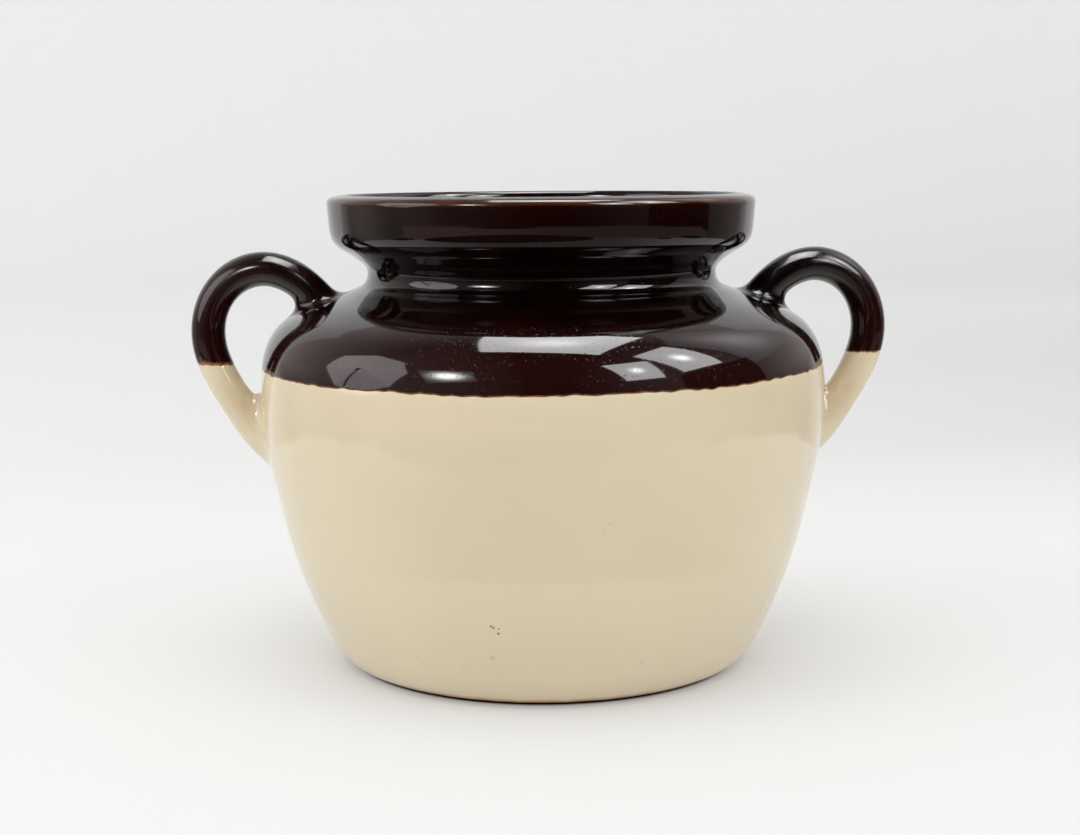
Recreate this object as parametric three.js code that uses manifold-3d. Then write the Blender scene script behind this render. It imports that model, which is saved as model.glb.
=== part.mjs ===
// Two-handled stoneware butter crock, glazed brown above a dip line and cream below it.
// Millimetres, +Z up. The origin is at the centre of the foot, on the surface the crock stands on,
// and the handles lie along X.
import * as THREE from 'three';
import { mergeVertices } from 'three/addons/utils/BufferGeometryUtils.js';
import Module from 'manifold-3d';

const wasm = await Module();
wasm.setup();

// Driving sizes of the finished, glazed crock.
const HEIGHT = 152.5;
const BELLY_RADIUS = 92;
const BELLY_Z = 88.5;
const RIM_RADIUS = 69.4;
const RIM_BAND_RADIUS = 68.6; // of the band's lower edge; the band narrows downwards
const RIM_BAND_Z = 141;
const LIP_WIDTH = 2.8; // roundings of the lip, along the radius and in height
const LIP_HEIGHT = 3;
const FOOT_RADIUS = 61.6;
const WALL = 6.6;

// Foot: a flat ring round a shallow recess.
const FOOT_RING_WIDTH = 8;
const RECESS_DEPTH = 1.2;
const HEEL_RADIUS = 68.6; // top of the bevel above the foot
const HEEL_Z = 4.4;

// Lid ledge inside the rim band, and the throat below it.
const LEDGE_Z = 143;
const LEDGE_OUTER_RADIUS = 62;
const LEDGE_INNER_RADIUS = 56;
const LEDGE_WALL_LEAN = 1.2; // outwards, from the ledge up to the lip
const THROAT_RADIUS = 50.2;
const THROAT_Z = 127;
const FLOOR_Z = 8.5;

// Control points of the outline's free curves, as radius and height.
const NECK = [[60.6, 122.4], [54.2, 124.8], [56.2, 129.8], [61.6, 133.2]];
const SHELF = [[61.6, 133.2], [67.4, 136.8], [RIM_BAND_RADIUS, RIM_BAND_Z]];
const NOSE = [[LEDGE_INNER_RADIUS, LEDGE_Z], [51.6, 142.4], [50.6, 135]];

// Glaze: a thin coat that stands just clear of the clay it covers.
const GLAZE_THICKNESS = 0.5;
const GAP = 0.3;
const STAND_OFF = GAP + GLAZE_THICKNESS;
const DIP_Z = 97.9; // height of the line between the two glazes, at the axis
const DIP_SLOPE = 0.006; // the line climbs towards +X
const INSIDE_ABOVE_DIP = 6; // the cut between the glazes stays outside the wall's middle up to here
const BARE_FOOT_Z = 1; // the cream glaze is wiped off below this height

// Handles: oval section, bent in the XZ plane.
const HANDLE_HALF_THICKNESS = 5.5;
const HANDLE_HALF_WIDTH = 7;
const HANDLE_PATH = [
  [66, 112], [71, 117.3], [79.3, 125.2], [90, 129], [100.7, 125.5], [107.5, 116.4],
  [108.8, 105.1], [105.2, 94.2], [99.4, 84.3], [92.8, 74.9], [85.8, 65.7],
];
const HANDLE_STEPS = 20;

// Clay pressed on round each handle's roots: an ellipsoid leaned over by a tilt towards +X.
const LOWER_PAD = { x: 87.2, z: 76.5, radii: [6.4, 9.5, 10.5], tilt: 8 };
const UPPER_PAD = { x: 74, z: 115, radii: [9.5, 12, 5.5], tilt: 24 };

// Fineness of the faceted solids.
const ROUND_SEGMENTS = 36;
const HANDLE_CURVE_SEGMENTS = 6;
const PAD_SEGMENTS = 14;
const FAR = 400; // larger than the crock, for cutting boxes

const v2 = ([x, y]) => new THREE.Vector2(x, y);

// The wall's outline as radius and height, from the middle of the underside, up the outside,
// over the lip and down the inside to the middle of the floor. It is the finished surface; the
// underside has no glaze, so it is drawn lower by the stand-off and its clay comes out at z = 0.
function footOutline() {
  const underside = -STAND_OFF;
  const recess = RECESS_DEPTH + underside;
  return [
    [0, recess],
    [FOOT_RADIUS - FOOT_RING_WIDTH - RECESS_DEPTH, recess],
    [FOOT_RADIUS - FOOT_RING_WIDTH, underside],
    [FOOT_RADIUS - STAND_OFF, underside],
  ].map(v2);
}

function bellyOutline() {
  const belly = new THREE.SplineCurve([
    [HEEL_RADIUS, HEEL_Z], [75.4, 18], [83.4, 39.7], [89.5, 66], [BELLY_RADIUS, BELLY_Z],
    [89.8, 105], [82.2, 113.5], [71, 118.5], [60.6, 122.4],
  ].map(v2));
  return belly.getPoints(12);
}

function neckOutline() {
  const neck = new THREE.CubicBezierCurve(...NECK.map(v2));
  const shelf = new THREE.QuadraticBezierCurve(...SHELF.map(v2));
  return [...neck.getPoints(5).slice(1), ...shelf.getPoints(2).slice(1)];
}

function lipOutline() {
  const top = HEIGHT - LIP_HEIGHT;
  const outer = new THREE.EllipseCurve(RIM_RADIUS - LIP_WIDTH, top, LIP_WIDTH, LIP_HEIGHT, 0, Math.PI / 2);
  const innerRadius = LEDGE_OUTER_RADIUS + LEDGE_WALL_LEAN;
  const inner = new THREE.EllipseCurve(
    innerRadius + LIP_WIDTH, top, LIP_WIDTH, LIP_HEIGHT, Math.PI / 2, Math.PI);
  return [...outer.getPoints(2), ...inner.getPoints(2)];
}

function ledgeOutline() {
  const nose = new THREE.QuadraticBezierCurve(...NOSE.map(v2));
  return [v2([LEDGE_OUTER_RADIUS, LEDGE_Z]), ...nose.getPoints(2)];
}

function insideOutline() {
  const inside = new THREE.SplineCurve([
    [THROAT_RADIUS, THROAT_Z], [54.5, 118.4], [67.5, 112.6], [78.2, 106.8], [BELLY_RADIUS - WALL, BELLY_Z],
    [82.6, 66], [76.8, 42], [70, 22], [61, 11.6], [46, FLOOR_Z],
  ].map(v2));
  return [...inside.getPoints(10), v2([0, FLOOR_Z])];
}

const outside = [...footOutline(), ...bellyOutline(), ...neckOutline()];
const OUTLINE = [...outside, ...lipOutline(), ...ledgeOutline(), ...insideOutline()];
const CREST_INDEX = outside.length + 2; // the last point of the outer rounding of the lip

// Moves an outline's points outwards by a distance, keeping each stretch parallel to itself.
function offsetOutline(points, distance) {
  const normals = points.slice(1).map((end, i) => {
    const along = end.clone().sub(points[i]).normalize();
    return new THREE.Vector2(along.y, -along.x);
  });
  return points.map((point, i) => {
    const before = normals[Math.max(i - 1, 0)];
    const after = normals[Math.min(i, normals.length - 1)];
    const reach = distance / (1 + before.dot(after));
    return point.clone().addScaledVector(before, reach).addScaledVector(after, reach);
  });
}

// A manifold solid from a closed three.js geometry.
function solidFrom(geometry) {
  const bare = geometry.clone();
  bare.deleteAttribute('normal');
  bare.deleteAttribute('uv');
  const merged = mergeVertices(bare, 1e-4);
  return new wasm.Manifold(new wasm.Mesh({
    numProp: 3,
    vertProperties: new Float32Array(merged.attributes.position.array),
    triVerts: new Uint32Array(merged.index.array),
  }));
}

function turned(points) {
  return solidFrom(new THREE.LatheGeometry(points, ROUND_SEGMENTS).rotateX(Math.PI / 2));
}

function wallSolid(distance) {
  return turned(offsetOutline(OUTLINE, distance));
}

// Everything inside the outer surface, with the hollow filled in.
function filledSolid(distance) {
  const outer = offsetOutline(OUTLINE, distance).slice(0, CREST_INDEX + 1);
  return turned([...outer, new THREE.Vector2(0, outer[CREST_INDEX].y)]);
}

// The space inside the middle of the wall, up to a little above the dip line.
function insideSolid() {
  const floor = FLOOR_Z / 2;
  const top = DIP_Z + INSIDE_ABOVE_DIP;
  const middle = offsetOutline(bellyOutline(), -WALL / 2).filter(({ y }) => y > floor && y < top);
  return turned([
    new THREE.Vector2(0, floor),
    new THREE.Vector2(middle[0].x - WALL, floor),
    ...middle,
    new THREE.Vector2(middle[middle.length - 1].x, top),
    new THREE.Vector2(0, top),
  ]);
}

function handleLoop(distance) {
  const grown = distance - STAND_OFF;
  const section = new THREE.Shape();
  section.absellipse(0, 0, HANDLE_HALF_WIDTH + grown, HANDLE_HALF_THICKNESS + grown, 0, 2 * Math.PI);
  const path = new THREE.CatmullRomCurve3(HANDLE_PATH.map(([x, z]) => new THREE.Vector3(x, 0, z)));
  return solidFrom(new THREE.ExtrudeGeometry(section, {
    steps: HANDLE_STEPS, curveSegments: HANDLE_CURVE_SEGMENTS, extrudePath: path, bevelEnabled: false,
  }));
}

function rootPad({ x, z, radii, tilt }, distance) {
  const ball = new THREE.SphereGeometry(1, PAD_SEGMENTS, PAD_SEGMENTS / 2);
  ball.scale(...radii.map((radius) => radius - STAND_OFF + distance));
  ball.rotateY(THREE.MathUtils.degToRad(tilt));
  return solidFrom(ball.translate(x, 0, z));
}

// A handle grown by a distance, on the side given by 1 or -1, still running into the body.
function handleSolid(side, distance) {
  const right = handleLoop(distance).add(rootPad(LOWER_PAD, distance)).add(rootPad(UPPER_PAD, distance));
  return side > 0 ? right : right.mirror([1, 0, 0]);
}

// The half space above or below the dip line, moved up by a distance.
function dipBox(direction, raise) {
  const box = new THREE.BoxGeometry(FAR, FAR, FAR);
  box.translate(0, 0, direction * FAR / 2);
  box.rotateY(-Math.atan(DIP_SLOPE));
  return solidFrom(box.translate(0, 0, DIP_Z + raise));
}

function footBox() {
  const box = new THREE.BoxGeometry(FAR, FAR, FAR);
  return solidFrom(box.translate(0, 0, BARE_FOOT_Z - FAR / 2));
}

function bodyPiece() {
  return wallSolid(-STAND_OFF);
}

function handlePiece(side) {
  return handleSolid(side, 0).subtract(filledSolid(GAP - STAND_OFF));
}

// One coat over the whole crock, handles included, before it is divided into the two glazes.
function wholeCoat() {
  const hollow = filledSolid(0).subtract(wallSolid(0));
  const outer = filledSolid(0).add(handleSolid(1, STAND_OFF)).add(handleSolid(-1, STAND_OFF));
  const core = filledSolid(GAP - STAND_OFF).add(handleSolid(1, GAP)).add(handleSolid(-1, GAP));
  const innerCore = filledSolid(GAP - STAND_OFF).subtract(wallSolid(GAP - STAND_OFF));
  const coat = outer.subtract(hollow).subtract(core.subtract(innerCore));
  return coat.subtract(footBox());
}

function brownPiece(coat) {
  const outsideBelow = dipBox(-1, GAP / 2).subtract(insideSolid());
  return coat.subtract(outsideBelow);
}

function creamPiece(coat) {
  return coat.intersect(dipBox(-1, -GAP / 2)).subtract(insideSolid());
}

function geometryFrom(solid) {
  const { numProp, vertProperties, triVerts } = solid.getMesh();
  const positions = new Float32Array((vertProperties.length / numProp) * 3);
  for (let i = 0; i < positions.length / 3; i += 1) {
    positions.set(vertProperties.subarray(i * numProp, i * numProp + 3), i * 3);
  }
  const geometry = new THREE.BufferGeometry();
  geometry.setAttribute('position', new THREE.BufferAttribute(positions, 3));
  geometry.setIndex(new THREE.BufferAttribute(new Uint32Array(triVerts), 1));
  geometry.computeVertexNormals();
  return geometry;
}

function ceramic(color, roughness) {
  return new THREE.MeshStandardMaterial({ color, roughness, metalness: 0 });
}

const crock = new THREE.Group();

function addPiece(name, solid, material) {
  const mesh = new THREE.Mesh(geometryFrom(solid), material);
  mesh.name = name;
  crock.add(mesh);
}

const clay = ceramic(0xb98a5c, 0.85);
const coat = wholeCoat();
addPiece('pot_body', bodyPiece(), clay);
addPiece('handle_left', handlePiece(-1), clay);
addPiece('handle_right', handlePiece(1), clay);
addPiece('brown_glaze', brownPiece(coat), ceramic(0x2a100c, 0.12));
addPiece('cream_glaze', creamPiece(coat), ceramic(0xe0d4b8, 0.18));

export default crock;
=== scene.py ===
"""Looks of the two-handled stoneware butter crock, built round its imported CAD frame.

Lengths are the CAD model's millimetres; MM turns them into the frame's metres. Directions round the
crock are angles from the front, where the camera stands, towards +X.
"""

import math

import bpy
import numpy as np
from mathutils import Matrix, Vector


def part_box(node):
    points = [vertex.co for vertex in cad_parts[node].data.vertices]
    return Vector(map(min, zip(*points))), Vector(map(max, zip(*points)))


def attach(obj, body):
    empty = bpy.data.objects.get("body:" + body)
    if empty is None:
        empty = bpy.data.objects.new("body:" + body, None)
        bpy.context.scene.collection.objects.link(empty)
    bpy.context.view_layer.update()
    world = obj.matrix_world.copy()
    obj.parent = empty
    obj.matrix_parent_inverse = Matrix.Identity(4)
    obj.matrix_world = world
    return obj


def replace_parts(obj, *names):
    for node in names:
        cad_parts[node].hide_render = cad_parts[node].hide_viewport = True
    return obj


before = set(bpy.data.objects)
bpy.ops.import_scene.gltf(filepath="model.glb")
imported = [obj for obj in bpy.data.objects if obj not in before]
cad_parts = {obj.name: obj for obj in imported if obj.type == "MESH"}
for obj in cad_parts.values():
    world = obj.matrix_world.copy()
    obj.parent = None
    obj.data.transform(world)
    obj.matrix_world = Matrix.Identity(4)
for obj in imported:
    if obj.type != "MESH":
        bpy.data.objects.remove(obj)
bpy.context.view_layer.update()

# Driving sizes of the finished crock. The frame gives its real scale.
HEIGHT = 152.5
BELLY_RADIUS = 92.0
RIM_RADIUS = 69.4
MOUTH_RADIUS = 63.2  # inside the lip
FOOT_RADIUS = 60.6
RECESS_RADIUS = 53.6
RECESS_DEPTH = 1.2
CREST_RADIUS = 65.2  # the lip slopes down from here to its outer arris
LIP_HEIGHT = 2.2
ARRIS = 1.5  # rounding of the outer arris
INNER_LIP = (0.8, 0.9)  # rounding of the inner edge, across and down
LEDGE_Z = 143.0
FLOOR_Z = 8.5
GLAZE = 0.5  # thickness of the glaze coats
CLAY_DEPTH = 0.8  # from the finished surface down to the clay
OVERLAP = 0.9  # of the cream glaze under the brown one
BEAD = 0.10  # how high the brown glaze stands up behind its edge
SUNK = 0.1  # how deep the cream glaze lies under the brown one
TUCKED = {"brown": -0.06, "cream": -0.05}  # height of the handle's coats where they meet the body's
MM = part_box("brown_glaze")[1].z / HEIGHT

# The line between the two glazes.
DIP_Z = 97.6
DIP_SLOPE = 0.0052  # climbs towards +X
DIP_RISE = 0.6  # higher at the two sides than in front
BARE_Z = 0.72  # the cream glaze is wiped off below this height

# Handles: oval section, bent in the XZ plane.
HANDLE_PATH = [
    (66, 112), (71, 117.3), (79.3, 125.2), (90, 129), (100.7, 125.5), (107.5, 116.4),
    (108.8, 105.1), (105.2, 94.2), (99.4, 84.3), (92.8, 74.9), (84.2, 67.2),
]
HANDLE_HALF_THICKNESS = 5.5
HANDLE_HALF_WIDTH = 7.0
HANDLE_DIP_RAISE = {"left": 0.25, "right": 0.75}
HANDLE_RUST = {"left": 0.4, "right": 0.8}  # shrinks the distances that its rust line is drawn by
HANDLE_LEAN = {"left": 4.0, "right": 1.6}  # backwards at the outermost place
LEAN_BETWEEN = (84, 112)  # the lean grows from the first distance from the axis to the second
DULL_BETWEEN = (114, 124)  # the tops grow dull between these heights
UPPER_ROOT = (74.5, 117.5)  # where the handle's two ends meet the body
LOWER_ROOT = (91.0, 76.0)
UPPER_RING = 21.0  # distances along the path where the bar leaves the fillets
LOWER_RING = 80.0

# Fineness of the meshes.
COLUMNS = 576
ROW_STEP = 1.1  # between rows, along the outline
RING_POINTS = 96
EDGE_ROWS = np.array([0, 0.05, 0.12, 0.22, 0.36, 0.6, 1.0, 1.6, 2.4])  # distances from a coat's edge
FINE = 0.1  # spacing of the outline that the others are cut from
FIRST_ROW = 3.4  # the one after those
POLE_GAP = 0.4  # from the last row to the axis
UPPER_SKIRT_ROWS = 36
LOWER_SKIRT_ROWS = 44

# Distances that the glazes' materials read, in places far from the edge that they mean.
NO_EDGE = 40.0
NO_FOOT = 60.0
NO_LIP = -60.0

# The camera: millimetres, degrees, and the lens in millimetres.
CAMERA_DISTANCE = 590.8
CAMERA_HEIGHT = 161.2
CAMERA_AZIMUTH = -4.0
CAMERA_PITCH = 7.917
CAMERA_ROLL = -0.376
CAMERA_ASIDE = -1.05
LENS = 60.1


# ---------------------------------------------------------------- curves and outlines

def spline(points, step):
    """A natural cubic spline through points, sampled about every step."""
    points = np.asarray(points, float)
    lengths = np.linalg.norm(np.diff(points, axis=0), axis=1)
    knots = np.concatenate([[0], np.cumsum(lengths)])
    count = len(points)
    matrix = np.eye(count)
    right = np.zeros_like(points)
    for i in range(1, count - 1):
        before, after = lengths[i - 1], lengths[i]
        matrix[i, i - 1 : i + 2] = before, 2 * (before + after), after
        right[i] = 6 * ((points[i + 1] - points[i]) / after - (points[i] - points[i - 1]) / before)
    bend = np.linalg.solve(matrix, right)
    at = np.linspace(0, knots[-1], max(2, round(knots[-1] / step)) + 1)
    i = np.clip(np.searchsorted(knots, at, side="right") - 1, 0, count - 2)
    span = lengths[i][:, None]
    low = (at - knots[i])[:, None]
    high = span - low
    curve = (bend[i] * high**3 + bend[i + 1] * low**3) / (6 * span)
    before = points[i] / span - bend[i] * span / 6
    after = points[i + 1] / span - bend[i + 1] * span / 6
    return curve + (before * high + after * low)


def quarter(centre, radii, start, count):
    """A quarter of an ellipse, anticlockwise from the start angle in degrees."""
    angles = np.radians(np.linspace(start, start + 90, count))
    return np.stack([centre[0] + radii[0] * np.cos(angles), centre[1] + radii[1] * np.sin(angles)], 1)


def lengths_along(points):
    return np.concatenate([[0], np.cumsum(np.linalg.norm(np.diff(points, axis=0), axis=1))])


def resampled(points, step):
    """The same line with evenly spaced points."""
    along = lengths_along(points)
    at = np.linspace(0, along[-1], round(along[-1] / step) + 1)
    return np.stack([np.interp(at, along, points[:, axis]) for axis in (0, 1)], 1)


def smoothed(points, radius, step):
    """The same line with its corners eased over a radius; its two ends stay where they are."""
    line = resampled(points, step)
    reach = round(3 * radius / step)
    weights = np.exp(-0.5 * (np.arange(-reach, reach + 1) * step / radius) ** 2)
    weights /= weights.sum()
    before = 2 * line[0] - line[reach:0:-1]
    after = 2 * line[-1] - line[-2 : -reach - 2 : -1]
    padded = np.concatenate([before, line, after])
    return np.stack([np.convolve(padded[:, axis], weights, "valid") for axis in (0, 1)], 1)


def smoothstep(low, high, value):
    t = np.clip((value - low) / (high - low), 0, 1)
    return t * t * (3 - 2 * t)


# The outside of the wall, from the foot up to the outer arris of the lip: radius and height.
BELLY = [
    (61.0, 0.2), (63.6, 0.95), (66.2, 2.3), (68.6, 4.6), (72.8, 12.2), (78.2, 24.4), (83.4, 39.7),
    (87.8, 58), (91.2, 76.3), (92, 88.5), (91.4, 98.5), (88.9, 106.4), (84.3, 112.1), (78.7, 115.4),
    (72, 118.2), (64, 121.0), (60.7, 122.4), (58, 123.9), (56.8, 126.3), (56.9, 128.9), (59.2, 131.5),
    (62.4, 133.8), (65.5, 135.7), (67.7, 138.0), (68.55, 140.8), (68.95, 144.5),
    (RIM_RADIUS, HEIGHT - LIP_HEIGHT),
]
# The inside: from the lip over the ledge to the throat, and from there down to the middle of the floor.
THROAT = [
    (62.2, LEDGE_Z + 0.8), (61.2, LEDGE_Z), (57, LEDGE_Z - 0.1), (53.2, 141.6), (51, 137), (50.2, 128),
]
INSIDE = [
    (50.2, 128), (51.4, 121.5), (57.5, 117), (67.5, 112.6), (78.2, 106.8), (84.6, 97), (85.4, 88.5),
    (82.6, 66), (76.8, 42), (70, 22), (61, 11.6), (46, FLOOR_Z + 0.2), (25, FLOOR_Z), (0, FLOOR_Z),
]


def outer_outline():
    """The finished outside, from the foot up to the crest of the lip."""
    belly = spline(BELLY, FINE)
    lip = quarter((RIM_RADIUS - ARRIS, HEIGHT - LIP_HEIGHT), (ARRIS, ARRIS), 0, 20)[:17]
    return smoothed(np.concatenate([belly, lip[1:], [(CREST_RADIUS, HEIGHT)]]), 0.4, FINE)


def inner_outline():
    """The finished inside, from the crest of the lip down to the middle of the floor."""
    lip = quarter((MOUTH_RADIUS + INNER_LIP[0], HEIGHT - INNER_LIP[1]), INNER_LIP, 90, 20)
    throat = spline(THROAT, FINE)
    inside = spline(INSIDE, FINE)
    return smoothed(np.concatenate([lip, throat, inside[1:]]), 0.6, FINE)


OUTER = outer_outline()
INNER = inner_outline()
FINISHED = np.concatenate([OUTER, INNER])
FINISHED_ALONG = lengths_along(FINISHED)
BELLY_END = int(np.argmin(FINISHED[:, 1] < 121))  # up to here the height only climbs
CREST_ALONG = FINISHED_ALONG[len(OUTER)]


def normals_of(line):
    """Unit normals, pointing out of the wall, of an outline that climbs outside and falls inside."""
    along = np.gradient(line, axis=0)
    along /= np.linalg.norm(along, axis=1)[:, None] + 1e-12
    return np.stack([along[:, 1], -along[:, 0]], 1)


FINISHED_NORMALS = normals_of(FINISHED)


def on_outline(along):
    """Point and normal of the finished outline at distances along it."""
    point = [np.interp(along, FINISHED_ALONG, FINISHED[:, axis]) for axis in (0, 1)]
    normal = [np.interp(along, FINISHED_ALONG, FINISHED_NORMALS[:, axis]) for axis in (0, 1)]
    return np.stack(point, -1), np.stack(normal, -1)


def along_at_height(z):
    """Distance along the outline of a height on the belly."""
    return np.interp(z, FINISHED[:BELLY_END, 1], FINISHED_ALONG[:BELLY_END])


# ---------------------------------------------------------------- handmade unevenness

def wander(angle, seed, lowest, highest, fall):
    """A smooth random wave round a full turn, between about -1 and 1."""
    generator = np.random.default_rng(seed)
    total = np.zeros_like(angle)
    size = 0.0
    for turns in range(lowest, highest + 1):
        strength = turns**-fall
        total += strength * np.sin(turns * angle + generator.uniform(0, 2 * math.pi))
        size += strength * strength
    return total / math.sqrt(size) / 1.4


def dip_height(x, angle, seed, raise_by=0.0):
    """Height of the line between the glazes, with its small irregular runs."""
    level = DIP_Z + DIP_SLOPE * x + DIP_RISE * (x / BELLY_RADIUS) ** 2 + raise_by
    return level + 0.22 * wander(angle, seed, 3, 14, 0.3) + 0.21 * wander(angle, seed + 1, 30, 130, 0.35)


def warped(points):
    """Moves points by the crock's slight handmade unevenness, which grows with height."""
    x, y, z = points.T
    angle = np.arctan2(x, -y)
    share = np.clip(z / HEIGHT, 0, 1)
    grow = 0.0016 * np.sin(2 * angle + 0.6) * share + 0.0007 * np.sin(3 * angle + 2.1)
    lean = -0.35 * share * share
    return np.stack([x * (1 + grow) + lean, y * (1 + grow), z], 1)


# ---------------------------------------------------------------- meshes

def grid_faces(rows, columns, wrap, first=0):
    """Quads of a grid of vertices whose rows may close round on themselves."""
    across = np.arange(columns if wrap else columns - 1)
    row, column = np.meshgrid(np.arange(rows - 1), across, indexing="ij")
    beside = (column + 1) % columns
    here, below = row * columns, (row + 1) * columns
    corners = [here + column, here + beside, below + beside, below + column]
    return np.stack(corners, -1).reshape(-1, 4) + first


def fan_faces(ring, centre):
    return [(ring[i], ring[(i + 1) % len(ring)], centre) for i in range(len(ring))]


def linked(name, data):
    """An object for a mesh, light or camera, in the scene."""
    thing = bpy.data.objects.new(name, data)
    bpy.context.scene.collection.objects.link(thing)
    return thing


def smooth_mesh(name, points, faces, material, attributes=None):
    """A smooth mesh from points in millimetres, with a number for each point in each attribute."""
    mesh = bpy.data.meshes.new(name)
    mesh.from_pydata((points * MM).tolist(), [], [list(map(int, face)) for face in faces])
    for key, values in (attributes or {}).items():
        layer = mesh.attributes.new(key, "FLOAT", "POINT")
        layer.data.foreach_set("value", np.asarray(values, np.float32))
    mesh.polygons.foreach_set("use_smooth", np.ones(len(mesh.polygons), bool))
    mesh.materials.append(material)
    return mesh


def add_piece(name, points, faces, material, attributes=None):
    """A piece of the crock, with its handmade unevenness, riding on the frame's root."""
    mesh = smooth_mesh(name, warped(points), faces, material, attributes)
    mesh.validate()
    piece = linked(name, mesh)
    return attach(piece, "root")


def turned_points(radius, z, angles):
    """Points at angles round the axis; rows of radii and heights make a grid, a column for each angle."""
    return np.stack([radius * np.sin(angles), -radius * np.cos(angles), z + 0 * radius * angles], -1)


ANGLES = np.linspace(0, 2 * math.pi, COLUMNS, endpoint=False)


def body_coat(along, lift):
    """Outer and inner skin of a coat, from grids of the distance along the outline and of the height above
    the finished surface."""
    point, normal = on_outline(along)
    outer = point + normal * lift[..., None]
    inner = point + normal * (lift[..., None] - GLAZE)
    return [turned_points(skin[..., 0], skin[..., 1], ANGLES[None, :]) for skin in (outer, inner)]


def closed_shell(outer, inner, pole):
    """Points and faces of a closed coat: outer skin, inner skin the other way round, joined at their edges.
    With pole, the last row closes to a point on the axis."""
    rows, columns = outer.shape[:2]
    points = np.concatenate([outer.reshape(-1, 3), inner.reshape(-1, 3)])
    half = rows * columns
    faces = list(grid_faces(rows, columns, True))
    faces += [face[::-1] for face in grid_faces(rows, columns, True, half)]
    first = np.arange(columns)
    beside = (first + 1) % columns
    faces += list(np.stack([first, first + half, beside + half, beside], 1))
    last = first + half - columns
    last_beside = beside + half - columns
    if pole:
        points = np.concatenate([points, outer[-1].mean(0)[None], inner[-1].mean(0)[None]])
        faces += fan_faces(list(last), len(points) - 2)
        faces += [face[::-1] for face in fan_faces(list(last + half), len(points) - 1)]
    else:
        faces += list(np.stack([last, last_beside, last_beside + half, last + half], 1))
    return points, faces


def capped(grid):
    """Points and faces of rows that close round on themselves, with both ends closed to a point."""
    rows, columns = grid.shape[:2]
    points = np.concatenate([grid.reshape(-1, 3), grid[:1].mean(1), grid[-1:].mean(1)])
    faces = list(grid_faces(rows, columns, True))
    faces += [face[::-1] for face in fan_faces(list(range(columns)), len(points) - 2)]
    faces += fan_faces(list(range((rows - 1) * columns, rows * columns)), len(points) - 1)
    return points, faces


# ---------------------------------------------------------------- the body and its two coats

def body_dip_along():
    """Distance along the outline of the dip line, for each angle."""
    x = BELLY_RADIUS * np.sin(ANGLES)
    return along_at_height(dip_height(x, ANGLES, 11))


def brown_lift(edge):
    """Height of the brown glaze above the finished surface, at distances from its edge."""
    return BEAD * np.sqrt(np.clip(edge / 0.3, 0, 1)) - 0.03


def brown_body(material):
    start = body_dip_along()
    end = FINISHED_ALONG[-1] - POLE_GAP
    total = end - start.mean()
    distance = np.concatenate([EDGE_ROWS, np.arange(FIRST_ROW, total - 0.5, ROW_STEP)])
    keep = 1 - smoothstep(2, 12, distance)
    along = start[None, :] * keep[:, None] + start.mean() * (1 - keep[:, None]) + distance[:, None]
    along[-1] = end
    edge = np.broadcast_to(distance[:, None], along.shape)
    points, faces = closed_shell(*body_coat(along, brown_lift(edge)), True)
    lip = along - CREST_ALONG
    pad = np.zeros(2)
    attributes = {
        "edge": np.concatenate([edge.ravel(), edge.ravel(), pad + total]),
        "lip": np.concatenate([lip.ravel(), lip.ravel(), pad + 200]),
    }
    return add_piece("brown_glaze_body", points, faces, material, attributes)


def cream_body(material):
    foot = along_at_height(BARE_Z + 0.16 * wander(ANGLES, 31, 2, 60, 0.4))
    top = body_dip_along() + OVERLAP
    near = np.array([0, 0.05, 0.12, 0.25, 0.45, 0.8, 1.4])
    length = float(np.mean(top - foot))
    share = np.concatenate([near, np.arange(2.4, length - 2.4, 1.6), length - near[::-1]]) / length
    along = foot[None, :] * (1 - share[:, None]) + top[None, :] * share[:, None]
    above_foot = along - foot[None, :]
    below_dip = top[None, :] - along
    lift = -0.45 * (1 - np.sqrt(np.clip(above_foot / 0.45, 0, 1)))
    lift = lift - SUNK * (1 - smoothstep(0.1, 1.4, below_dip))
    points, faces = closed_shell(*body_coat(along, lift), False)
    attributes = {"foot_edge": np.tile(above_foot.ravel(), 2)}
    return add_piece("cream_glaze_body", points, faces, material, attributes)


def clay_outline():
    """The clay under the glaze, and the bare foot: from the middle of the underside to the floor."""
    rim = quarter((FOOT_RADIUS, 0.6), (0.9, 0.6), 270, 8)
    ring = spline([
        (RECESS_RADIUS - 1.6, RECESS_DEPTH), (RECESS_RADIUS - 0.9, 0.95),
        (RECESS_RADIUS - 0.4, 0.3), (RECESS_RADIUS + 0.2, 0),
    ], 0.2)
    under = np.concatenate([[(radius, RECESS_DEPTH) for radius in (0.3, 20, 40)], ring, rim])
    wall, normal = on_outline(np.arange(1.2, FINISHED_ALONG[-1] - POLE_GAP, 1.4))
    depth = CLAY_DEPTH * smoothstep(0.55, 2.4, wall[:, 1])
    return np.concatenate([under, wall - normal * depth[:, None]])


def clay_body(material):
    outline = clay_outline()
    points, faces = capped(turned_points(outline[:, :1], outline[:, 1:], ANGLES[None, ::3]))
    return add_piece("pot_body_clay", points, faces, material)


# ---------------------------------------------------------------- handles

PATH = spline(HANDLE_PATH, 0.4)
PATH_ALONG = lengths_along(PATH)
PATH_OUT = -normals_of(PATH)  # away from the finger gap

# How far the fillet between handle and body reaches, at places round the two roots of the +X handle.
FILLETS = np.array([
    (68, 0, 121, 4.0), (82, 0, 115, 7.5), (75, 13, 118, 3.0), (75, -13, 118, 3.0),
    (94, 0, 88, 6.0), (91, 11, 76, 5.0), (91, -11, 76, 5.0), (90, 0, 66, 2.6),
])

ROOT_LINE = OUTER[(OUTER[:, 1] > 40) & (OUTER[:, 1] < 130)][::10]  # the stretch that the handles meet
ROOT_NORMALS = normals_of(ROOT_LINE)


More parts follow.
